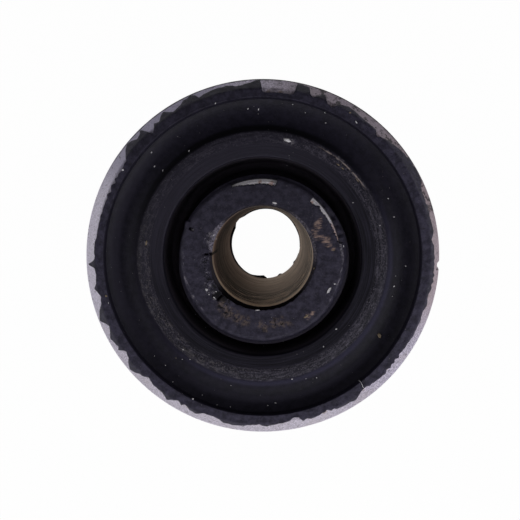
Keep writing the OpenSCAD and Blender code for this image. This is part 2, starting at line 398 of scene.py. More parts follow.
# Finishes, with each layer's mask and tone in the order that they are laid
def grained_steel():
    """Dull lilac-grey steel of the outer sleeve, with fine grain, pits, stains and press marks."""
    f = Finish("grained_steel")
    lead_foot = OUTER_END - LEAD_L
    fine = f.even_grain(4.4, 6.0, 0.75)
    broad = f.even_grain(0.32, 4.0, 0.6)
    pits = f.span(f.even_grain(2.4, 5.0, 0.7), 0.40, 0.33)
    rust = f.warped(1.6, 0.9)
    red = f.spots(rust, OUTER_END, [(311, 171.5, 0.4)])
    yellow = f.spots(rust, OUTER_END, (
        (272, 164.8, 0.4), (276, 164.8, 0.4), (22, 171, 0.6), (32, 171, 0.5), (42, 168.5, 0.4),
        (53, 165.5, 0.5), (68.5, 167.5, 0.5), (103, 172, 0.4), (116, 169.5, 0.5)))
    lead_tone = f.layers(
        f.blend(f.span(fine, 0.36, 0.64), (0.38, 0.345, 0.46), (0.90, 0.83, 1.0)),
        (f.span(broad, 0.50, 0.72, 0.0, 0.4), (0.58, 0.50, 0.52)),
        # Painted light and shade by side: lighter towards the left and the bottom, darker towards the upper
        # left and upper right; pinkish brown towards the right
        (f.side(350, 0.75, 0.97, 0.0, 0.6), (0.50, 0.37, 0.37)),
        (f.side(190, 0.70, 0.97, 0.0, 0.5), (0.92, 0.88, 1.0)),
        (f.side(108, 0.50, 0.90, 0.0, 0.3), (1.0, 0.94, 1.0)),
        (f.side(232, 0.85, 0.97, 0.0, 0.6), (0.31, 0.29, 0.43)),
        (f.side(310, 0.70, 0.95, 0.0, 0.6), (0.29, 0.215, 0.235)),
        (f.times(red, 0.9), (0.30, 0.06, 0.045)),
        (f.times(yellow, 0.5), (0.42, 0.30, 0.20)),
        (f.times(pits, 0.75), (0.09, 0.072, 0.082)))

    # Ground side with press marks, streaks of soil and freckles of rust
    side = f.span(f.z, lead_foot - 0.05, lead_foot - 0.3)
    ground = f.ring_grain(2.0, 0.0, 7.0, 4.0, 0.7)
    marks = f.ring_grain(60.0, 0.0, 0.07, 5.0, 0.7)
    streak = f.ring_grain(5.0, 0.0, 0.05, 7.0, 0.68)
    freckle = f.span(f.even_grain(0.75, 6.0, 0.72), 0.62, 0.70)
    side_tone = f.layers(
        f.blend(f.span(ground, 0.36, 0.64), (0.35, 0.332, 0.36), (0.46, 0.440, 0.48)),
        (f.span(marks, 0.56, 0.72, 0.0, 0.4), (0.66, 0.63, 0.68)),
        (f.span(streak, 0.50, 0.72, 0.0, 0.35), (0.20, 0.168, 0.160)),
        (f.times(freckle, 0.6), (0.16, 0.085, 0.058)))

    # Black residue on the far part of the chamfer, a dark line along its outer edge towards the top, and
    # painted shade in the nick
    smear = f.even_grain(0.9, 6.0, 0.7)
    on_lead = f.span(f.z, lead_foot - 0.4, lead_foot)
    residue = f.times(f.side(312, 0.70, 0.88), f.span(smear, 0.49, 0.60), on_lead)
    edge_start = f.maths("MULTIPLY_ADD", smear, -0.35, OUTER_R - 0.02)
    past_edge = f.span(f.maths("SUBTRACT", f.radius, edge_start), -0.05, 0.06)
    edge = f.times(past_edge, f.span(f.y, 6.0, 16.0), on_lead)
    nick_shade_places = [(4.4, pixels, 0.2) for pixels in (171.5, 173.2, 174.9, 176.6)]
    nick_shade = f.spots(f.place, OUTER_END - 0.8 * LEAD_L, nick_shade_places, soft=0.4)
    colour = f.layers(
        lead_tone,
        (side, side_tone),
        (f.times(f.most(residue, edge), 0.88), (0.022, 0.019, 0.025)),
        (nick_shade, (0.01, 0.009, 0.011)))
    lead_rough = f.span(fine, 0.2, 0.8, 0.42, 0.64)
    rough = f.maths("SUBTRACT", lead_rough, f.times(side, f.span(streak, 0.45, 0.7, 0.16, 0.0)))
    bumps = [(marks, 0.006), (ground, 0.004), (fine, 0.012), (pits, 0.02)]
    return f.surface(colour, rough, bumps, metallic=f.span(side, 0.0, 1.0, 0.5, 0.85))


def bore_steel():
    """Turned steel of the inner sleeve: olive brown in the bore, bright where the rim is torn bare."""
    f = Finish("turned_bore_steel")
    rings = f.ring_grain(0.6, 0.0, 1.1, 6.0, 0.7)
    fine = f.even_grain(4.0, 5.0, 0.7)
    cloud = f.even_grain(0.25, 5.0, 0.65)
    ring_share = f.span(rings, 0.36, 0.64)
    # Wall painted lighter towards the right and darker towards the left as light and shade, and painted
    # darker at mid depth towards the bottom as shade
    lit_wall = f.blend(ring_share, (0.220, 0.180, 0.147), (0.610, 0.515, 0.430))
    shaded_wall = f.blend(ring_share, (0.060, 0.0430, 0.0370), (0.230, 0.168, 0.146))
    worn = f.side(10, -0.85, 0.85)
    brown = f.times(f.side(165, -0.1, 0.7), f.span(f.z, 26.0, 42.0))
    shade = f.times(f.band(f.z, 28.5, 40.5, 1.2), f.side(80, 0.1, 0.8))

    # Tool lines cut round the bore, and the bright lip just inside its mouth: a worn ring with a painted
    # highlight, strongest towards the bottom
    turned = f.ring_grain(0.45, 0.0, 0.55, 3.0, 0.65)
    line = f.times(f.band(turned, 0.49, 0.53, 0.012), f.span(f.z, 25.0, 33.0))
    dark_line = f.times(f.band(turned, 0.40, 0.475, 0.015), f.span(f.z, 24.0, 36.0),
                        f.span(worn, 0.0, 1.0, 0.5, 1.0))
    worn_lip_highlight = f.times(f.band(f.z, MOUTH_Z - 2.5, MOUTH_Z - 0.45, 0.3), f.span(fine, 0.3, 0.6, 0.5, 1.0),
                  f.side(70, -0.7, 0.5, 0.2, 1.0))
    wall = f.layers(
        f.blend(worn, shaded_wall, lit_wall),
        (f.span(cloud, 0.45, 0.65, 0.0, 0.5), (0.180, 0.138, 0.112)),
        (f.times(brown, 0.7), (0.110, 0.066, 0.054)),
        (f.times(brown, f.span(f.z, 36.0, 43.0), 0.8), (0.250, 0.155, 0.125)),
        (f.times(shade, 0.88), (0.027, 0.0225, 0.016)),
        (f.times(dark_line, 0.6), (0.012, 0.010, 0.007)),
        (f.times(line, f.side(50, -0.6, 0.8)), (0.95, 0.78, 0.62)),
        (worn_lip_highlight, (0.98, 0.79, 0.60)))

    # Chamfer at the mouth painted near black towards the bottom as shade, paler scuffed lilac at the left
    # and right, partly painted light, and bare bright rim with rust on its right, darker down its outer side
    chamfer = f.span(f.z, MOUTH_Z - 0.35, MOUTH_Z - 0.10)
    scuffed = f.blend(f.span(fine, 0.35, 0.65), (0.05, 0.045, 0.062), (0.37, 0.34, 0.43))
    lit_scuffed_side = f.most(f.side(202, 0.92, 0.98), f.side(335, 0.80, 0.92, 0.0, 0.5))
    chamfer_tone = f.blend(f.side(92, 0.50, 0.72), (0.045, 0.040, 0.050), (0.007, 0.006, 0.007))
    chamfer_tone = f.blend(lit_scuffed_side, chamfer_tone, scuffed)
    rust = f.spots(f.warped(1.8, 0.8), INNER_END, (
        (337, 76, 0.8), (342, 77, 1.0), (347, 78, 1.0), (312, 73, 0.35), (268, 76, 0.4), (277, 74, 0.45)))
    bright = f.layers(
        f.blend(f.span(fine, 0.34, 0.56), (0.78, 0.73, 0.88), (1.0, 0.96, 1.0)),
        (f.times(rust, f.span(fine, 0.34, 0.50), 0.85), (0.58, 0.375, 0.335)),
        (f.span(f.z, INNER_END - 0.28, INNER_END - 0.42), (0.085, 0.078, 0.098)))
    rim = f.span(f.radius, 7.6, 8.0)
    seam = f.times(f.side(182.5, 0.9993, 0.9998), f.span(f.z, 30.0, 36.0), f.span(f.radius, 7.6, 7.2))
    colour = f.layers(
        wall,
        (chamfer, chamfer_tone),
        (f.times(seam, 0.95), (0.003, 0.0025, 0.003)),
        (rim, bright))
    end_face = f.most(rim, chamfer)
    dull = f.maths("SUBTRACT", f.span(fine, 0.2, 0.8, 0.50, 0.66), f.times(worn, 0.20))
    rough = f.most(dull, f.times(end_face, 0.7))
    metal = f.span(end_face, 0.0, 1.0, 0.45, 0.0)
    return f.surface(colour, rough, [(rings, 0.06), (fine, 0.02)], metallic=metal,
                     specular_ior_level=0.0, specular_tint=(0.74, 0.62, 0.53))


def worn_rubber():
    """Satin black rubber with moulding lines, a dusty worn crest, mottled flash and stained skin."""
    f = Finish("worn_rubber")
    fine = f.even_grain(5.0, 6.0, 0.75)
    mottle = f.even_grain(1.3, 6.0, 0.65)
    lines = f.ring_grain(2.2, 6.5, 0.0, 4.0, 0.6)
    streaks = f.ring_grain(12.0, 3.6, 0.0, 6.0, 0.75)
    skin = f.span(f.radius, SKIN_R + 0.65, SKIN_R + 0.15)
    flash = f.span(f.radius, COAT_R + 0.02, FLASH_IN_R + 0.05)
    ridge = f.band(f.radius, RIDGE_IN_R, RIDGE_OUT_R, 0.15)
    speckle = f.span(fine, 0.54, 0.70)
    plain = f.blend(f.span(mottle, 0.3, 0.7), (0.0105, 0.0092, 0.0185), (0.0205, 0.0180, 0.0340))
    lined = f.blend(f.span(lines, 0.38, 0.68), (0.0075, 0.0066, 0.0130), (0.0265, 0.0235, 0.0410))
    # Ridge painted lighter towards the upper left, as painted light
    lined = f.blend(f.side(235, -0.1, 0.9, 0.0, 0.45), lined, (0.042, 0.0370, 0.0600))

    # Paler grey down in the groove, grey dust on the ridge's shoulder, olive at the lower left, and a scuff
    # on its edge
    hollow = f.times(f.span(f.z, RIDGE_END - 0.8, RIDGE_END - 2.2),
                     f.span(f.radius, RIDGE_OUT_R, RIDGE_IN_R + 0.2), f.span(f.z, 25.0, 30.0))
    crest = f.band(f.radius, RIDGE_CREST_R + 0.05, RIDGE_OUT_R + 0.02, 0.2)
    dusty = f.most(f.times(f.span(streaks, 0.46, 0.66), 0.8), f.span(fine, 0.50, 0.64))
    wear = f.times(crest, dusty, f.span(mottle, 0.30, 0.58, 0.3, 1.0), f.side(235, 0.4, 0.95, 1.0, 0.5))
    olive = f.times(f.side(150, 0.4, 0.9), f.span(mottle, 0.42, 0.6))
    dust = f.blend(olive, (0.142, 0.129, 0.172), (0.146, 0.130, 0.142))
    scuff = f.times(f.band(f.radius, RIDGE_OUT_R - 0.40, RIDGE_OUT_R - 0.24, 0.05),
                    f.span(streaks, 0.42, 0.52), f.side(312, 0.96, 0.99))

    # Painted sheen, bluish, on the ridge's outer side at the lower right, painted shade on that side towards
    # the top, and painted light on the channel floor at the left and the bottom
    painted_sheen = f.times(f.band(f.radius, RIDGE_OUT_R + 0.05, RIDGE_OUT_R + 0.7, 0.25),
                    f.side(55, -0.1, 0.7), f.span(fine, 0.3, 0.6, 0.4, 1.0))
    far_flank_shade = f.times(f.band(f.radius, RIDGE_OUT_R + 0.05, RIDGE_OUT_R + 0.8, 0.2), f.side(255, 0.2, 0.9))
    left_floor_light = f.times(f.band(f.radius, 17.4, 18.6, 0.3), f.side(188, 0.6, 0.95))
    near_floor_light = f.times(f.band(f.radius, 17.2, 17.9, 0.25), f.side(80, 0.5, 0.95))
    colour = f.layers(
        plain,
        (ridge, lined),
        (f.times(speckle, 0.45), (0.046, 0.042, 0.058)),
        (hollow, (0.105, 0.090, 0.120)),
        (wear, dust),
        (scuff, (0.42, 0.345, 0.325)),
        (painted_sheen, (0.046, 0.043, 0.078)),
        (f.times(far_flank_shade, 0.8), (0.002, 0.002, 0.003)),
        (f.times(f.most(left_floor_light, near_floor_light), 0.5), (0.044, 0.040, 0.064)))

    # Greyer skin over the inner sleeve, painted darker towards the top as shade, with a painted highlight
    # along its rim at the right and lower left; scuffed, mottled flash, painted darker towards the top as
    # shade
    skin_tone = f.layers(
        f.blend(f.span(mottle, 0.34, 0.66), (0.024, 0.0214, 0.0385), (0.062, 0.0560, 0.0920)),
        (f.times(speckle, 0.7), (0.125, 0.114, 0.150)),
        (f.side(270, 0.0, 1.0, 0.0, 0.3), (0.016, 0.0145, 0.025)))
    rim_highlight = f.times(f.band(f.radius, 9.42, 9.66, 0.08), f.span(f.ring_grain(14.0, 4.0), 0.50, 0.62),
                        f.most(f.side(12, 0.90, 0.97), f.side(160, 0.88, 0.97)))
    flash_tone = f.layers(
        f.blend(f.span(mottle, 0.34, 0.68), (0.028, 0.0250, 0.0450), (0.068, 0.0610, 0.1050)),
        (f.span(fine, 0.46, 0.34, 0.0, 0.7), (0.010, 0.0090, 0.0150)),
        (f.times(speckle, 0.6), (0.105, 0.096, 0.140)),
        (f.side(255, 0.3, 0.95, 0.0, 0.4), (0.014, 0.0125, 0.022)))

    # Brown and rusty stains on the skin
    near = f.warped(1.5, 1.1)
    brown = f.spots(near, TOP, (
        (105, 67, 0.9), (113, 66, 1.1), (121, 66, 1.1), (129, 63, 1.0), (132, 61, 0.8),
        (68, 72, 0.6), (74, 69, 0.9), (80, 67, 0.8), (92, 68, 0.7), (88, 72, 0.6)))
    patchy = f.span(f.even_grain(2.2, 5.0, 0.75), 0.42, 0.58)
    cracks = f.times(brown, f.span(f.even_grain(1.7, 6.0, 0.7, 1.2), 0.46, 0.41))
    colour = f.layers(
        colour,
        (skin, skin_tone),
        (rim_highlight, (0.22, 0.20, 0.26)),
        (flash, flash_tone),
        (f.times(brown, patchy, 0.9), (0.165, 0.122, 0.110)),
        (cracks, (0.006, 0.005, 0.006)))

    # Torn tan fibres in two legs of an arch, each drawn out along its leg
    for lean, places in (
            (-62, ((335, 56, 0.45), (333, 59, 0.6), (331, 63, 0.6), (328, 67, 0.5), (326, 70, 0.35))),
            (48, ((340, 58, 0.55), (343, 62, 0.65), (346, 65, 0.7), (349, 67.5, 0.55), (354, 70.5, 0.35),
                  (52, 75.6, 0.45), (48.5, 75.4, 0.35), (12, 52.5, 0.40)))):
        drawn = f.put("ShaderNodeMapping", {"Vector": f.place, "Rotation": (0.0, 0.0, math.radians(lean)),
                                            "Scale": (1.0, 4.6, 1.0)}).outputs[0]
        torn_fibre = f.span(f.grain(drawn, 1.0, 6.0, 0.7), 0.42, 0.62)
        colour = f.blend(f.times(f.spots(near, TOP, places), torn_fibre), colour, (0.50, 0.345, 0.290))

    # Scuffed, cracked and pitted skin round the lower left of the mouth, and rubbed pale places; the pale
    # places on the skin's rim are painted highlights
    scuffed = f.spots(near, TOP, (
        (128, 58, 1.0), (140, 58, 1.2), (152, 58, 1.2), (164, 57, 1.0), (176, 57.5, 0.9), (200, 57, 0.9)))
    crackle = f.even_grain(3.4, 6.0, 0.75, 0.8)
    pits = f.spots(near, TOP, (
        (133, 56, 0.6), (137, 58.5, 0.7), (140, 61.5, 0.6), (149, 56.5, 0.3), (158, 58, 0.28),
        (170, 59, 0.25)))
    rubbed = f.warped(2.5, 0.5)
    pale = f.most(
        f.spots(rubbed, RIDGE_END, ((282, 118.5, 0.55), (284.5, 118.3, 0.4), (186.5, 117.5, 0.3))),
        f.spots(rubbed, SHOULDER_END, ((307.5, 123.5, 0.4), (310, 124, 0.35), (318, 121.5, 0.4))),
        f.spots(rubbed, TOP, (
            (196, 55.5, 0.45), (203, 56.5, 0.45), (282.5, 54.4, 0.35), (147, 64.5, 0.4), (144, 61, 0.35),
            (139, 64, 0.3), (151, 60, 0.3), (352, 79.6, 0.35), (355, 80, 0.35), (359, 80.4, 0.3),
            (2, 81, 0.3), (20, 80.5, 0.3), (150, 81, 0.35), (165, 81, 0.3))))
    colour = f.layers(
        colour,
        (f.times(scuffed, f.span(crackle, 0.49, 0.43)), (0.004, 0.0035, 0.005)),
        (f.times(scuffed, f.span(crackle, 0.57, 0.63)), (0.30, 0.275, 0.34)),
        (f.span(pits, 0.15, 0.5, 0.0, 0.85), (0.0035, 0.003, 0.004)),
        (f.times(pale, f.span(fine, 0.42, 0.58), 0.8), (0.32, 0.295, 0.34)))

    channel = f.band(f.radius, RIDGE_OUT_R + 0.2, COAT_R, 0.3)
    rough = f.maths("SUBTRACT", f.span(fine, 0.2, 0.8, 0.5, 0.68), f.times(channel, 0.10))
    ridge_lines = f.maths("MULTIPLY", lines, f.span(ridge, 0.0, 1.0, 0.25, 1.0))
    lumps_shown = f.maths("MULTIPLY", mottle, f.span(f.most(skin, flash), 0.0, 1.0, 0.12, 1.0))
    bumps = [(ridge_lines, 0.04), (lumps_shown, 0.09), (fine, 0.02)]
    return f.surface(colour, rough, bumps, specular_ior_level=0.25)


def dry_finish(name, scale, detail, spread, dark, light, roughness=0.8):
    """Dry grit or dust, mottled from a dark tone to a light one."""
    f = Finish(name)
    share = f.span(f.even_grain(scale, detail), 0.5 - spread, 0.5 + spread)
    return f.surface(f.blend(share, dark, light), roughness, [])


# Geometry Nodes trees
def open_tree(name, inputs):
    """A new tree with named inputs and one geometry output, and its wiring."""
    tree = bpy.data.node_groups.new(name, "GeometryNodeTree")
    for label, kind in inputs:
        tree.interface.new_socket(name=label, in_out="INPUT", socket_type="NodeSocket" + kind)
    tree.interface.new_socket(name="Result", in_out="OUTPUT", socket_type="NodeSocketGeometry")
    wiring = Wiring(tree)
    return tree, wiring, wiring.put("NodeGroupInput").outputs


def close_tree(w, geometry, finish, highest=None):
    """End a tree in plain geometry with its finish, pressed down to a highest level if one is given."""
    plain = w.put("GeometryNodeRealizeInstances", {"Geometry": geometry}).outputs[0]
    if highest is not None:
        x, y, z = w.separate(w.put("GeometryNodeInputPosition").outputs[0])
        pressed = w.combine(x, y, w.maths("MINIMUM", z, highest))
        plain = w.put("GeometryNodeSetPosition", {"Geometry": plain, "Position": pressed}).outputs[0]
    plain = w.put("GeometryNodeSetMaterial", {"Geometry": plain, "Material": finish}).outputs[0]
    w.put("NodeGroupOutput", {"Result": plain})


def sleeve_tree():
    """Turn a half section about the axis, wear it slightly and press one nick into it."""
    tree, w, given = open_tree("turned_sleeve", (
        ("Section", "Geometry"), ("Steps Round", "Int"), ("Wear Depth", "Float"), ("Wear Scale", "Float"),
        ("Nick Place", "Vector"), ("Nick Reach", "Float"), ("Nick Depth", "Float"), ("Finish", "Material")))
    count = w.put("GeometryNodeAttributeDomainSize", {0: given["Section"]}).outputs["Point Count"]
    across = w.maths("ADD", given["Steps Round"], 1.0)
    grid = w.put("GeometryNodeMeshGrid", {"Vertices X": count, "Vertices Y": across}).outputs["Mesh"]
    index = w.put("GeometryNodeInputIndex").outputs[0]
    row = w.maths("FLOOR", w.maths("DIVIDE", w.maths("ADD", index, 0.5), across))
    step = w.maths("SUBTRACT", index, w.maths("MULTIPLY", row, across))
    place = w.put("GeometryNodeInputPosition").outputs[0]
    sample = w.put("GeometryNodeSampleIndex", data_type="FLOAT_VECTOR")
    w.fill(sample.inputs["Geometry"], given["Section"])
    w.fill(sample.inputs["Value"], place)
    w.fill(sample.inputs["Index"], row)
    angle = w.times(w.maths("DIVIDE", step, given["Steps Round"]), 2 * math.pi)
    turned = w.put("ShaderNodeVectorRotate", {"Vector": sample.outputs[0], "Angle": angle},
                   rotation_type="Z_AXIS").outputs[0]
    shell = w.put("GeometryNodeSetPosition", {"Geometry": grid, "Position": turned}).outputs[0]
    shell = w.put("GeometryNodeMergeByDistance", {"Geometry": shell, "Distance": 0.002 * MM}).outputs[0]
    wear = w.maths("SUBTRACT", w.grain(place, given["Wear Scale"], detail=3.0), 1.0)
    normal = w.put("GeometryNodeInputNormal").outputs[0]
    worn = w.vector("SCALE", normal, scale=w.times(wear, given["Wear Depth"]))
    shell = w.put("GeometryNodeSetPosition", {"Geometry": shell, "Offset": worn}).outputs[0]
    away = w.vector("DISTANCE", place, given["Nick Place"])
    press = w.times(w.span(away, 0.0, given["Nick Reach"], 1.0, 0.0), given["Nick Depth"], -1.0)
    x, y, _ = w.separate(given["Nick Place"])
    outward = w.vector("NORMALIZE", w.combine(x, y, 0.0))
    nicked = w.vector("SCALE", outward, scale=press)
    shell = w.put("GeometryNodeSetPosition", {"Geometry": shell, "Offset": nicked}).outputs[0]
    close_tree(w, shell, given["Finish"])
    return tree


def dust_tree():
    """Scatter fine dust over the faces that look upwards."""
    tree, w, given = open_tree("settled_dust", (
        ("Surface", "Geometry"), ("Density", "Float"), ("Lowest", "Float"), ("Seed", "Int"),
        ("Smallest", "Float"), ("Largest", "Float"), ("Highest", "Float"), ("Finish", "Material")))
    normal = w.put("GeometryNodeInputNormal").outputs[0]
    place = w.put("GeometryNodeInputPosition").outputs[0]
    up = w.maths("GREATER_THAN", w.separate(normal)[2], 0.3)
    high = w.maths("GREATER_THAN", w.separate(place)[2], given["Lowest"])
    points = w.put("GeometryNodeDistributePointsOnFaces", {
        "Mesh": given["Surface"], "Selection": w.times(up, high),
        "Density": given["Density"], "Seed": given["Seed"]}).outputs["Points"]
    grain = w.put("GeometryNodeMeshIcoSphere", {"Radius": 1.0, "Subdivisions": 1}).outputs["Mesh"]
    size = w.put("FunctionNodeRandomValue", data_type="FLOAT")
    w.fill(size.inputs[2], given["Smallest"])
    w.fill(size.inputs[3], given["Largest"])
    w.fill(size.inputs["Seed"], given["Seed"])
    turn = w.put("FunctionNodeRandomValue", data_type="FLOAT_VECTOR")
    turn.inputs[1].default_value = (2 * math.pi, 2 * math.pi, 2 * math.pi)
    w.fill(turn.inputs["Seed"], given["Seed"])
    scale = w.vector("SCALE", (1.4, 1.0, 0.7), scale=size.outputs[1])
    scattered = w.put("GeometryNodeInstanceOnPoints", {
        "Points": points, "Instance": grain, "Rotation": turn.outputs[0], "Scale": scale}).outputs[0]
    close_tree(w, scattered, given["Finish"], given["Highest"])
    return tree


def grit_tree():
    """Set one crumb on each given point, with that point's own length, width and turn."""
    tree, w, given = open_tree("placed_grit", (
        ("Places", "Geometry"), ("Highest", "Float"), ("Finish", "Material")))

    def own(name):
        made = w.put("GeometryNodeInputNamedAttribute", {"Name": name}, data_type="FLOAT")
        return made.outputs[0]

    crumb = w.put("GeometryNodeMeshIcoSphere", {"Radius": 1.0, "Subdivisions": 2}).outputs["Mesh"]
    place = w.put("GeometryNodeInputPosition").outputs[0]
    dent = w.grain(place, 1.3, detail=2.0)
    ragged = w.vector("SCALE", place, scale=w.span(dent, 0.2, 0.8, 0.55, 1.25))
    crumb = w.put("GeometryNodeSetPosition", {"Geometry": crumb, "Position": ragged}).outputs[0]
    scale = w.combine(own("long"), own("wide"), w.times(own("wide"), 0.7))
    placed = w.put("GeometryNodeInstanceOnPoints", {
        "Points": given["Places"], "Instance": crumb,
        "Rotation": w.combine(0.0, 0.0, own("turn")), "Scale": scale}).outputs[0]
    close_tree(w, placed, given["Finish"], given["Highest"])
    return tree


def fibre_tree():
    """Sweep a thin round fibre along a line of points."""
    tree, w, given = open_tree("loose_fibre", (
        ("Path", "Geometry"), ("Thickness", "Float"), ("Finish", "Material")))
    path = w.put("GeometryNodeMeshToCurve", {"Mesh": given["Path"]}).outputs[0]
    ring = w.put("GeometryNodeCurvePrimitiveCircle", {
        "Resolution": 8, "Radius": w.times(given["Thickness"], 0.5)}).outputs["Curve"]
    tube = w.put("GeometryNodeCurveToMesh", {
        "Curve": path, "Profile Curve": ring, "Fill Caps": True}).outputs[0]
    close_tree(w, tube, given["Finish"])
    return tree


def run_tree(name, start, tree, values):
    """Run a tree on a starting mesh and keep its result as a plain mesh at the origin."""
    piece = link_object(name, start)
    modifier = piece.modifiers.new(tree.name, "NODES")
    modifier.node_group = tree
    for item in tree.interface.items_tree:
        if item.in_out == "INPUT" and item.name in values:
            modifier[item.identifier] = values[item.name]
    graph = bpy.context.evaluated_depsgraph_get()
    result = bpy.data.meshes.new_from_object(piece.evaluated_get(graph))
    piece.modifiers.remove(modifier)
    piece.data = result
    result.name = name
    bpy.data.meshes.remove(start)
    return piece


# Sleeves
OUTER_STEPS_ROUND = 720
INNER_STEPS_ROUND = 360
SHARP_ANGLE = 30
NICK_TURN = math.radians(-3)
NICK_REACH = 0.55
NICK_DEPTH = 0.4


def section_mesh(points):
    """A closed half section as a line of points, the first repeated at the end."""
    closed = list(points) + [points[0]]
    flat = [(r, 0.0, z) for r, z in closed]
    return mesh_from("section", flat, [], [(i, i + 1) for i in range(len(flat) - 1)])


def eased_corner(before, corner, after, size, steps=4):
    """Points that ease a corner of a section off by a small size."""
    b, c, a = (np.array(p, dtype=float) for p in (before, corner, after))
    start = c + (b - c) / np.linalg.norm(b - c) * size
    end = c + (a - c) / np.linalg.norm(a - c) * size
    shares = [i / steps for i in range(steps + 1)]
    return [tuple((1 - t) ** 2 * start + 2 * t * (1 - t) * c + t ** 2 * end) for t in shares]


def eased_section(corners, eases, spacing):
    """A closed section with eased corners and evenly divided sides."""
    count = len(corners)
    rounded = [eased_corner(corners[i - 1], corners[i], corners[(i + 1) % count], eases[i])
               for i in range(count)]
    points = []
    for i in range(count):
        points += rounded[i]
        start, end = np.array(rounded[i][-1]), np.array(rounded[(i + 1) % count][0])
        steps = max(1, round(math.dist(start, end) / spacing[i]))
        points += [tuple(start + (end - start) * s / steps) for s in range(1, steps)]
    return points


def smooth_shell(piece, sharp_angle):
    """Shade a shell smooth between its sharp edges."""
    piece.data.shade_smooth()
    piece.data.set_sharp_from_angle(angle=math.radians(sharp_angle))
    return piece


def outer_sleeve(tree):
    """Pressed-in tube with a lead-in chamfer at each end and a nick in its upper rim."""
    corners = [
        (SLEEVE_IN_R, OUTER_START), (SLEEVE_IN_R, OUTER_END), (LAND_R, OUTER_END),
        (OUTER_R, OUTER_END - LEAD_L), (OUTER_R, OUTER_START + LEAD_L), (LAND_R, OUTER_START)]
    eases = [0.05, 0.05, 0.16, 0.16, 0.16, 0.16]
    spacing = [9, 0.4, 0.14, 1.5, 0.3, 0.6]
    nick = (OUTER_R * math.cos(NICK_TURN), OUTER_R * math.sin(NICK_TURN), OUTER_END - LEAD_L)
    piece = run_tree("outer_sleeve_steel", section_mesh(eased_section(corners, eases, spacing)), tree, {
        "Steps Round": OUTER_STEPS_ROUND, "Wear Depth": 0.03 * MM, "Wear Scale": 0.9 / MM,
        "Nick Place": [c * MM for c in nick], "Nick Reach": NICK_REACH * MM, "Nick Depth": NICK_DEPTH * MM,
        "Finish": grained_steel()})
    return smooth_shell(piece, SHARP_ANGLE)


def inner_sleeve(tree):
    """Thick bolt tube with chamfered mouths and rims."""
    corners = [
        (BORE_R, INNER_START + MOUTH_CHAMFER), (BORE_R, MOUTH_Z), (MOUTH_R, INNER_END),
        (INNER_R - RIM_CHAMFER, INNER_END), (INNER_R, INNER_END - RIM_CHAMFER),
        (INNER_R, INNER_START + RIM_CHAMFER), (INNER_R - RIM_CHAMFER, INNER_START), (MOUTH_R, INNER_START)]
    eases = [0.06] * len(corners)
    spacing = [0.8, 0.1, 0.25, 0.1, 9, 0.3, 0.4, 0.2]
    piece = run_tree("inner_sleeve_steel", section_mesh(eased_section(corners, eases, spacing)), tree, {
        "Steps Round": INNER_STEPS_ROUND, "Wear Depth": 0.025 * MM, "Wear Scale": 1.2 / MM,
        "Nick Place": (MM, 0, 1), "Nick Reach": 0.1 * MM, "Nick Depth": 0.0, "Finish": bore_steel()})
    return smooth_shell(piece, SHARP_ANGLE)


# Rubber moulding, one closed mesh swept round the axis
STEPS_ROUND = 840
PLAIN_SHARE = 4
RUBBER_SHARP_ANGLE = 55
turn = np.linspace(0, 2 * math.pi, STEPS_ROUND, endpoint=False)
screen = (360 - np.degrees(turn)) % 360
level = np.ones(STEPS_ROUND)


def seen_line(points):
    """Pixel distance all round, joined up through points chosen on the photo."""
    angles = [a for a, _ in points]
    pixels = [p for _, p in points]
    return np.interp(screen, angles, pixels, period=360)


def ripple(seed, low, high):
    """Wavy line round the axis, about -1 to 1, from whole cycles between low and high."""
    draw = np.random.default_rng(seed)
    cycles = np.arange(low, high + 1)
    phases = draw.uniform(0, 2 * math.pi, len(cycles))
    line = sum(np.cos(c * turn + p) for c, p in zip(cycles, phases))
    return line / math.sqrt(len(cycles))


def lumps(r, scale, seed):
    """Noise from about -1 to 1 on a ring of points, with that many features a millimetre."""
    return np.array([noise.noise((x * scale, y * scale, seed))
                     for x, y in zip(r * np.cos(turn), r * np.sin(turn))])


def near_seen(angle, pixels, reach, r):
    """1 on a ring of points near a place on the end face, falling to 0 at its reach."""
    x, y, _ = seen_place(angle, pixels, TOP)
    away = np.hypot(r * np.cos(turn) - x, r * np.sin(turn) - y)
    return np.clip(1.5 - 1.5 * away / reach, 0, 1)


def steel_top(r):
    """Height of the outer sleeve's upper end at a radius."""
    return OUTER_END - LEAD_L * np.clip(r - LAND_R, 0, None) / LEAD_W


def flash_edge():
    """Radius of the ragged flash's edge all round."""
    pixels = seen_line(FLASH_SEEN) + FLASH_RAGGED * ripple(11, 60, 190) * np.abs(ripple(12, 4, 24))
    r = seen_reach(pixels, OUTER_END)
    for _ in range(4):
        r = seen_reach(pixels, steel_top(r) + FLASH_TIP_T)
    return np.clip(r, FLASH_IN_R + 0.3, OUTER_R - 0.04)


def tear_start():
    """Radius outside which the skin is torn off the rim, or far out where it is whole."""
    start = np.full(STEPS_ROUND, WHOLE_SKIN)
    for tear in TEARS_SEEN:
        angles = [a for a, _ in tear]
        inside = (screen >= angles[0]) & (screen <= angles[-1])
        edge = np.interp(screen, angles, [p for _, p in tear]) + TEAR_RAGGED * ripple(7, 30, 170)
        start = np.where(inside, seen_reach(edge, INNER_END), start)
    return start


# Groove's inner wall below the skin's rim: share of the ledge's width, and drop
LEDGE_LINE = [(0.0, 0.15), (0.034, 0.34), (0.134, 0.65), (0.293, 0.92), (0.5, 1.13), (0.69, 1.24),
              (0.82, 1.28), (0.94, 1.38), (1.0, 1.62), (1.0, 2.8), (1.0, 4.8)]


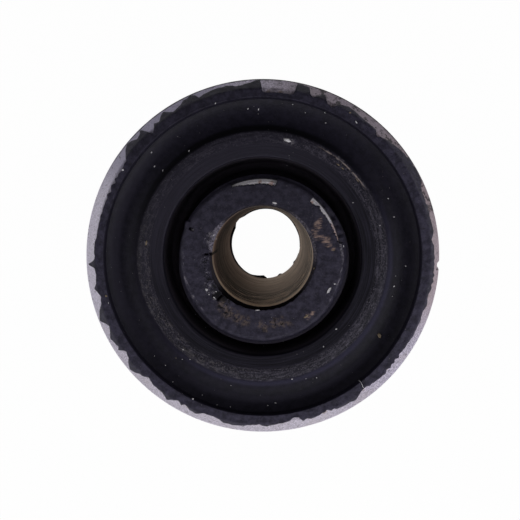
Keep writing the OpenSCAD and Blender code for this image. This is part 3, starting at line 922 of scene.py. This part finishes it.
def skin_rows():
    """Rows of the skin over the inner sleeve's end, from the bore's mouth to the groove."""
    skin_r = np.maximum(seen_reach(seen_line(RIM_SEEN), TOP - SKIN_ROUND), INNER_R + 0.04)
    rim_start = skin_r - SKIN_ROUND
    mouth = seen_reach(seen_line(MOUTH_SEEN), TOP) + MOUTH_RAGGED * ripple(3, 12, 80)
    mouth = np.maximum(mouth, BORE_R + 0.12)
    lip_z = np.minimum(INNER_END, INNER_END - (MOUTH_R - mouth)) - BED
    torn_r = tear_start()
    bare = (torn_r < WHOLE_SKIN).astype(float)
    face_z = TOP - SKIN_LOW
    rows = [(mouth, lip_z), (mouth, face_z - 0.07 * level), (mouth + 0.03, face_z - 0.01 * level)]
    for share in np.concatenate([np.linspace(0.04, 0.60, 10), np.linspace(0.65, 1.0, 11)]):
        r = mouth + (rim_start - mouth) * share
        rough = np.maximum.reduce([part * near_seen(angle, pixels, reach, r)
                                   for angle, pixels, reach, part in ROUGH_SEEN])
        z = face_z + 0.016 * lumps(r, 0.8, 4.0) - rough * (0.10 + 0.14 * lumps(r, 2.6, 9.0))
        gone = np.clip((r - torn_r) / 0.05, 0, 1)
        for angle, first, last, half in SLITS_SEEN:
            off = np.abs((screen - angle + 180) % 360 - 180) / half
            inside = (r > seen_reach(first, TOP)) & (r < seen_reach(last, TOP))
            gone = np.maximum(gone, inside * np.clip(1.6 - 1.6 * off, 0, 1))
        bare_z = INNER_END - np.maximum(r - INNER_R + RIM_CHAMFER, 0) - BARE_SINK
        rows.append((r, np.minimum(z + gone * (bare_z - z), TOP)))
    for angle in (72, 54, 36, 18, 0):
        a = math.radians(angle)
        share = 1 - angle / 90
        r = rim_start + SKIN_ROUND * math.cos(a)
        z = face_z - SKIN_ROUND + SKIN_ROUND * math.sin(a)
        bare_r = INNER_R - RIM_CHAMFER * (1 - share) - BARE_SINK
        bare_z = INNER_END - RIM_CHAMFER * share - BARE_SINK
        rows.append((r + bare * (bare_r - r), z + bare * (bare_z - z)))
    torn_down = TEAR_DOWN * (1 + 0.3 * ripple(8, 10, 60))
    ledge_r = np.maximum(seen_reach(seen_line(LEDGE_SEEN), TOP - SKIN_ROUND - LEDGE_DROP), skin_r + 0.1)
    for out, drop in LEDGE_LINE:
        r = skin_r + (ledge_r - skin_r) * out
        gone = bare * np.clip((torn_down - drop) / 0.12, 0, 1)
        rows.append((r + gone * (INNER_R - BARE_SINK - r), face_z - SKIN_ROUND - drop * level))
    return rows


def shoulder_point(share):
    """Point on the ridge's rounded shoulder, from its crest to its outer edge."""
    a = SHOULDER_BEND * share
    return (RIDGE_CREST_R + RIDGE_ROUND_W * math.sin(a) / math.sin(SHOULDER_BEND),
            RIDGE_END - RIDGE_FALL * (1 - math.cos(a)) / (1 - math.cos(SHOULDER_BEND)))


def channel_point(share):
    """Point on the channel's round hollow, from the ridge to the coat inside the sleeve."""
    a = share * (CHANNEL_IN_ANGLE + CHANNEL_OUT_ANGLE) - CHANNEL_IN_ANGLE
    return (CHANNEL_MID_R + CHANNEL_R * math.sin(a), CHANNEL_MID_Z - CHANNEL_R * math.cos(a))


def groove_point(angle):
    """Point on the groove's round floor, from 180 degrees at its inner wall to 360 at its outer."""
    a = math.radians(angle)
    return (RIDGE_IN_R - GROOVE_FLOOR_R * (1 - math.cos(a)), GROOVE_FLOOR_Z + GROOVE_FLOOR_R * math.sin(a))


def flash_rows():
    """Rows of the ragged flash, out over the sleeve's end and back beneath."""
    edge = flash_edge()
    rows = []
    for share in np.concatenate([[0.0, 0.06], np.linspace(0.15, 0.93, 9), [0.985]]):
        r = FLASH_IN_R + (edge - FLASH_IN_R) * share
        on_land = np.clip((r - FLASH_IN_R) / (LAND_R - FLASH_IN_R), 0, 1)
        on_lead = np.clip((r - LAND_R) / LEAD_W, 0, 1)
        thick = FLASH_ROOT_T + (FLASH_EDGE_T - FLASH_ROOT_T) * on_land
        thick = thick + (FLASH_TIP_T - FLASH_EDGE_T) * on_lead
        uneven = 0.10 * lumps(r, 1.1, 2.0) + 0.06 * lumps(r, 3.0, 6.0)
        thick = np.maximum(thick + uneven * min(1, 2.5 * share), 0.07)
        rows.append((r, steel_top(r) + thick * (0.8 if share > 0.95 else 1)))
    rows += [(edge, steel_top(edge) + 0.05), (edge, steel_top(edge) - BED)]
    for share in (0.6, 0.25):
        r = FLASH_IN_R + (edge - FLASH_IN_R) * share
        rows.append((r, steel_top(r) - BED))
    return rows


def rubber_upper():
    """Rows of the upper end, from the bonded inner wall over the top to the bonded outer wall."""
    rows = [(INNER_R - BOND_SINK, INNER_END - RIM_CHAMFER - BOND_SINK - 0.4),
            (INNER_R - RIM_CHAMFER - BOND_SINK, INNER_END - BOND_SINK)]
    rows += skin_rows()
    rows += [groove_point(angle) for angle in np.linspace(180, 360, 8)]
    rows += [(RIDGE_IN_R, RIDGE_END - drop) for drop in (3.5, 1.2, 0.5, 0.12 + RIDGE_SLOPE)]
    rows += [(RIDGE_IN_R + 0.035, RIDGE_END - RIDGE_SLOPE - 0.03)]
    rows += [(RIDGE_IN_R + RIDGE_FLAT_W * share, RIDGE_END - RIDGE_SLOPE * (1 - share))
             for share in np.linspace(0.08, 0.92, 7)]
    rows += [shoulder_point(share) for share in np.linspace(0, 1, 7)]
    rows += [channel_point(share) for share in np.concatenate([[0.012], np.linspace(0.08, 1, 13)])]
    rows += [(COAT_R, COAT_FOOT + (OUTER_END + FLASH_ROOT_T - FLASH_TURN - COAT_FOOT) * share)
             for share in (0.04, 0.5, 1.0)]
    rows += flash_rows()
    rows += [(SLEEVE_IN_R + BOND_SINK, OUTER_END - BOND_START)]
    return [(r * level, z * level) for r, z in rows]


def turned_over(point):
    """The same point on the lower end."""
    return (point[0], TOP - point[1])


def far_mouth():
    """Radius of the lower skin's torn mouth at each coarse step."""
    pixels = seen_line(FAR_MOUTH_SEEN)[::PLAIN_SHARE]
    return np.where(pixels > FAR_BARE, MOUTH_R, seen_reach(pixels, SKIN_T))


def rubber_lower():
    """Rows of the plain hidden end, from the bonded outer wall in to the bonded inner wall."""
    mouth = far_mouth()
    edge = LAND_R + LEAD_W * FLASH_PLAIN
    edge_z = OUTER_END - LEAD_L * FLASH_PLAIN
    upper = [
        (SLEEVE_IN_R + BOND_SINK, OUTER_END - BOND_START), (SLEEVE_IN_R + 0.1, OUTER_END - BED),
        (LAND_R, OUTER_END - BED), (edge, edge_z - BED), (edge, edge_z + FLASH_TIP_T * 0.6),
        (edge - 0.06, edge_z + FLASH_TIP_T + 0.06), (LAND_R, OUTER_END + FLASH_EDGE_T),
        (FLASH_IN_R + 0.4, OUTER_END + FLASH_ROOT_T - 0.06), (FLASH_IN_R, OUTER_END + FLASH_ROOT_T),
        (COAT_R, OUTER_END + FLASH_ROOT_T - FLASH_TURN)]
    upper += [channel_point(share) for share in np.linspace(1, 0.09, 11)]
    upper += [shoulder_point(share) for share in np.linspace(1, 0, 6)]
    upper += [(RIDGE_IN_R + 0.12, RIDGE_END), (RIDGE_IN_R, RIDGE_END - 0.12)]
    upper += [groove_point(angle) for angle in np.linspace(360, 180, 8)]
    for angle in (90, 60, 30):
        a = math.radians(angle)
        upper.append((SKIN_R + LEDGE_W * (1 - math.cos(a)), TOP - SKIN_ROUND - LEDGE_DROP * math.sin(a)))
    for angle in (0, 30, 60, 90):
        a = math.radians(angle)
        upper.append((SKIN_R - SKIN_ROUND * (1 - math.cos(a)), TOP - SKIN_ROUND * (1 - math.sin(a))))
    upper += [(MOUTH_R + 1.2, TOP), (mouth + 0.06, TOP), (mouth, TOP - 0.08), (mouth, INNER_END + 0.06),
              (mouth + 0.06, INNER_END), (MOUTH_R + 0.1, INNER_END - BED),
              (INNER_R - RIM_CHAMFER - BOND_SINK, INNER_END - BOND_SINK),
              (INNER_R - BOND_SINK, INNER_END - RIM_CHAMFER - BOND_SINK)]
    return [turned_over(p) for p in upper]


def rubber_body():
    """Close the ragged upper rows and the plain lower rows into one shell."""
    upper = rubber_upper()
    lower = rubber_lower()
    coarse = STEPS_ROUND // PLAIN_SHARE
    points = []
    for r, z in upper:
        points += list(zip(r * np.cos(turn), r * np.sin(turn), z))
    base = len(points)
    step = turn[::PLAIN_SHARE]
    for r, z in lower:
        points += list(zip(r * np.cos(step), r * np.sin(step), z * level[::PLAIN_SHARE]))
    faces = []
    for start, rows, steps in ((0, len(upper), STEPS_ROUND), (base, len(lower), coarse)):
        for i in range(rows - 1):
            near, far = start + i * steps, start + (i + 1) * steps
            faces += [(near + j, far + j, far + (j + 1) % steps, near + (j + 1) % steps)
                      for j in range(steps)]
    last_upper = (len(upper) - 1) * STEPS_ROUND
    last_lower = base + (len(lower) - 1) * coarse
    for j in range(coarse):
        k = (j + 1) % coarse
        fine = [(j * PLAIN_SHARE + s) % STEPS_ROUND for s in range(PLAIN_SHARE + 1)]
        faces.append([base + j, base + k] + [last_upper + s for s in reversed(fine)])
        faces.append([last_lower + k, last_lower + j] + fine)
    mesh = mesh_from("rubber_moulding", points, faces)
    mesh.materials.append(worn_rubber())
    return smooth_shell(link_object("rubber_moulding", mesh), RUBBER_SHARP_ANGLE)


# Grit, dust and a fibre on the rubber. Places are pixels of the photo, sizes in millimetres:
# across, down, length, width and turn in degrees
PALE_GRIT = [
    (329, 290.5, 0.46, 0.17, 60), (334.6, 284, 0.12, 0.10, 0), (206.3, 289.6, 0.20, 0.14, -40),
    (209, 294.5, 0.10, 0.07, 20), (214, 297.5, 0.16, 0.08, -30), (216, 291.5, 0.09, 0.07, 0),
    (257, 310.2, 0.34, 0.07, 5), (283.4, 341.6, 0.22, 0.09, 80), (263.6, 346.3, 0.12, 0.06, 60),
    (287, 140.2, 0.50, 0.22, -15), (192.8, 398.9, 0.13, 0.11, 45), (202.2, 395.1, 0.07, 0.06, 0),
    (405.6, 266, 0.10, 0.09, 0), (394, 286.3, 0.12, 0.08, 70), (392.5, 296.4, 0.06, 0.05, 0),
    (395.6, 276, 0.05, 0.05, 0), (336.2, 329.1, 0.11, 0.09, 30), (323.5, 346.7, 0.09, 0.06, 80),
    (292, 379, 0.11, 0.10, 0), (305.9, 378.7, 0.06, 0.06, 0), (316.6, 377.8, 0.07, 0.06, 0),
    (275.4, 403, 0.12, 0.08, 0), (267.7, 405.5, 0.07, 0.06, 0), (230.3, 406.7, 0.07, 0.06, 0),
    (217, 404.9, 0.06, 0.05, 0), (183, 349.6, 0.09, 0.08, 0), (182.4, 359.4, 0.06, 0.06, 0),
    (190, 359.4, 0.06, 0.06, 0), (165.4, 365.4, 0.08, 0.06, 45), (172.7, 382.1, 0.13, 0.05, 60),
    (154.5, 356, 0.07, 0.05, 60), (195.1, 314.2, 0.08, 0.06, 0), (205.4, 327.6, 0.12, 0.06, 70),
    (230.9, 385.5, 0.05, 0.05, 0), (108.5, 303, 0.10, 0.05, 80), (189, 151.2, 0.15, 0.08, 75),
    (154.5, 166.4, 0.14, 0.06, 70), (162.8, 170.6, 0.15, 0.06, 80), (151.5, 152.4, 0.11, 0.09, 60),
    (247.9, 108.8, 0.13, 0.08, 30), (258.5, 109.4, 0.14, 0.07, 80), (215.5, 103.3, 0.14, 0.06, 75),
    (324.7, 112.7, 0.08, 0.07, 0), (325.6, 123, 0.10, 0.07, 0), (356.2, 122.1, 0.22, 0.08, -55),
    (388, 198.5, 0.09, 0.08, 0), (394, 216.9, 0.10, 0.08, 0), (380, 225.5, 0.09, 0.06, 0),
    (352.9, 202.7, 0.08, 0.05, 0), (305.3, 112.7, 0.06, 0.05, 0), (292.6, 104.5, 0.09, 0.05, 0),
    (287, 165.5, 0.09, 0.05, 0), (123, 170, 0.17, 0.12, 0), (274.5, 203, 0.30, 0.10, -15),
    (343.2, 246.5, 0.20, 0.08, 85), (213.5, 235.3, 0.14, 0.09, 60), (216, 239, 0.10, 0.07, 60),
]
TAN_GRIT = [
    (379.2, 335.4, 0.34, 0.22, -60), (306, 316.6, 0.34, 0.12, 35), (146.3, 243, 0.34, 0.10, 80),
    (338, 164.6, 0.26, 0.06, -35), (342.5, 168.3, 0.24, 0.05, -40), (357, 180, 0.30, 0.05, -45),
    (350, 112.7, 0.13, 0.10, 0), (106, 296, 0.16, 0.12, 0), (333.5, 250, 0.14, 0.10, 0),
    (314.2, 268.4, 0.18, 0.09, 50), (176, 358, 0.06, 0.05, 0),
]
FIBRE_SEEN = [(358.8, 380.2), (360.2, 381.6), (361.4, 383.2), (362.3, 385.0), (362.7, 386.8), (363.6, 387.6)]
FIBRE_LIFT = [0.03, 0.10, 0.16, 0.14, 0.07, 0.03]
FIBRE_T = 0.07
# Share of its width by which a crumb stands up from what it lies on
CRUMB_LIFT = 0.3


def sight_line(pixel):
    """Direction in which a pixel of the photo looks."""
    across = RIGHT * ((pixel[0] - AIM_PIXEL[0]) / FOCAL)
    down = UP * ((AIM_PIXEL[1] - pixel[1]) / FOCAL)
    return (AHEAD + across + down).normalized()


def landing_surface(pieces):
    """Surface of several pieces that crumbs can lie on."""
    points, faces = [], []
    for piece in pieces:
        start = len(points)
        points += [v.co.copy() for v in piece.data.vertices]
        faces += [[start + i for i in p.vertices] for p in piece.data.polygons]
    return BVHTree.FromPolygons(points, faces)


def landing(surface, pixel, lift):
    """Where a pixel's line of sight meets the surface, in millimetres, raised along it a little."""
    spot = surface.ray_cast(EYE * MM, sight_line(pixel))[0] / MM
    return spot - sight_line(pixel) * lift


def placed_grit(name, tree, surface, crumbs, finish):
    """Crumbs that lie where the photo shows them."""
    points = [landing(surface, crumb[:2], crumb[3] * CRUMB_LIFT) for crumb in crumbs]
    start = mesh_from(name + "_places", points, [])
    for label, values in (("long", [c[2] * MM for c in crumbs]), ("wide", [c[3] * MM for c in crumbs]),
                          ("turn", [math.radians(c[4]) for c in crumbs])):
        start.attributes.new(label, "FLOAT", "POINT").data.foreach_set("value", values)
    return run_tree(name, start, tree, {"Highest": TOP * MM, "Finish": finish})


def loose_fibre(surface, finish):
    """Hair caught on the flash."""
    points = [landing(surface, pixel, lift) for pixel, lift in zip(FIBRE_SEEN, FIBRE_LIFT)]
    start = mesh_from("fibre_path", points, [], [(i, i + 1) for i in range(len(points) - 1)])
    return run_tree("loose_fibre", start, fibre_tree(), {"Thickness": FIBRE_T * MM, "Finish": finish})


def settled_dust(rubber):
    """Fine dust over the rubber's upper end."""
    finish = dry_finish("grey_dust", 2.0, 2.0, 0.15, (0.08, 0.074, 0.085), (0.45, 0.42, 0.45), 0.85)
    return run_tree("settled_dust", rubber.data.copy(), dust_tree(), {
        "Density": 0.16 / MM ** 2, "Lowest": (OUTER_END - 4) * MM, "Seed": 5,
        "Smallest": 0.015 * MM, "Largest": 0.045 * MM, "Highest": TOP * MM, "Finish": finish})


# Studio
LAMP_DISTANCE = 0.27
FLOOR_REACH = 2.0
# Shares of its white that the floor shows to gloss and gives as light, and the share that takes no shadow
FLOOR_TO_GLOSS = 0.7
FLOOR_TO_DIFFUSE = 0.45
FLOOR_GLOW = 0.985
WORLD_LIGHT = 0.055


def camera():
    """Camera that puts the bore's mouth and the axis's vanishing point on their pixels."""
    lens = bpy.data.cameras.new("photo_camera")
    lens.sensor_fit = "HORIZONTAL"
    lens.sensor_width = SENSOR
    lens.lens = FOCAL / PHOTO_SIZE * SENSOR
    lens.shift_x = (PHOTO_MIDDLE - AIM_PIXEL[0]) / PHOTO_SIZE
    lens.shift_y = (AIM_PIXEL[1] - PHOTO_MIDDLE) / PHOTO_SIZE
    lens.clip_start = 0.005
    made = bpy.data.objects.new("photo_camera", lens)
    made.matrix_world = Matrix.Translation(EYE * MM) @ Matrix((RIGHT, UP, -AHEAD)).transposed().to_4x4()
    bpy.context.scene.collection.objects.link(made)
    bpy.context.scene.camera = made


def lamp(name, azimuth, elevation, size, power):
    """Soft lamp that faces the upper end of the bushing from a direction in degrees."""
    a, e = math.radians(azimuth), math.radians(elevation)
    target = Vector((0, 0, TOP * MM))
    away = Vector((math.cos(e) * math.cos(a), math.cos(e) * math.sin(a), math.sin(e)))
    light = bpy.data.lights.new(name, "AREA")
    light.shape = "RECTANGLE"
    light.size, light.size_y = size
    light.energy = power
    made = bpy.data.objects.new(name, light)
    made.location = target + LAMP_DISTANCE * away
    made.rotation_euler = (-away).to_track_quat("-Z", "Y").to_euler()
    made.visible_camera = False
    bpy.context.scene.collection.objects.link(made)


def floor():
    """Plain pale floor that stays white to the lens but keeps the bushing's shadow."""
    corners = [(FLOOR_REACH * x, FLOOR_REACH * y, 0) for x, y in ((-1, -1), (1, -1), (1, 1), (-1, 1))]
    mesh = bpy.data.meshes.new("floor")
    mesh.from_pydata(corners, [], [(0, 1, 2, 3)])
    made = link_object("floor", mesh)
    material = bpy.data.materials.new("white_floor")
    material.use_nodes = True
    w = Wiring(material.node_tree)
    w.tree.nodes.clear()
    path = w.put("ShaderNodeLightPath").outputs
    gloss = w.times(path["Is Glossy Ray"], FLOOR_TO_GLOSS)
    diffuse = w.times(path["Is Diffuse Ray"], FLOOR_TO_DIFFUSE)
    seen = w.most(path["Is Camera Ray"], path["Is Transmission Ray"], gloss, diffuse)
    matt = w.put("ShaderNodeBsdfDiffuse", {"Color": (0.85, 0.85, 0.85)})
    glow = w.put("ShaderNodeEmission", {"Color": (1, 1, 1), "Strength": 1.0})
    share = w.times(seen, FLOOR_GLOW)
    both = w.put("ShaderNodeMixShader", {0: share, 1: matt.outputs[0], 2: glow.outputs[0]})
    w.put("ShaderNodeOutputMaterial", {"Surface": both.outputs[0]})
    mesh.materials.append(material)


def world():
    """White to the lens, dim grey as light."""
    made = bpy.data.worlds.new("studio")
    made.use_nodes = True
    w = Wiring(made.node_tree)
    w.tree.nodes.clear()
    path = w.put("ShaderNodeLightPath").outputs
    strength = w.span(path["Is Camera Ray"], 0.0, 1.0, WORLD_LIGHT, 1.0)
    back = w.put("ShaderNodeBackground", {"Color": (1, 1, 1), "Strength": strength})
    w.put("ShaderNodeOutputWorld", {"Surface": back.outputs[0]})
    bpy.context.scene.world = made


camera()
steel_tree = sleeve_tree()
crumb_tree = grit_tree()
sleeve = outer_sleeve(steel_tree)
rubber = rubber_body()
bolt_tube = inner_sleeve(steel_tree)
top_surface = landing_surface((sleeve, rubber, bolt_tube))
pale = dry_finish("pale_grit", 3.0, 2.0, 0.2, (0.66, 0.63, 0.68), (0.97, 0.95, 1.0))
sandy = dry_finish("tan_grit", 6.0, 3.0, 0.2, (0.20, 0.14, 0.09), (0.42, 0.34, 0.24))
loose = [
    placed_grit("pale_grit", crumb_tree, top_surface, PALE_GRIT, pale),
    placed_grit("tan_grit", crumb_tree, top_surface, TAN_GRIT, sandy),
    loose_fibre(top_surface, pale),
    settled_dust(rubber),
]
for piece, node, slot in ((sleeve, "outer_sleeve", "outer_steel"), (rubber, "rubber_body", "rubber"),
                          (bolt_tube, "inner_sleeve", "bore_steel")):
    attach(piece, "root")
    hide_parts(node)
for piece in loose:
    piece.data.shade_smooth()
    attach(piece, "root")

floor()
world()
lamp("front_lamp", azimuth=-82, elevation=36, size=(0.36, 0.18), power=0.23)
lamp("left_lamp", azimuth=-172, elevation=28, size=(0.26, 0.16), power=0.13)
lamp("right_lamp", azimuth=-18, elevation=32, size=(0.26, 0.16), power=0.20)

bpy.context.scene.view_settings.view_transform = "Standard"
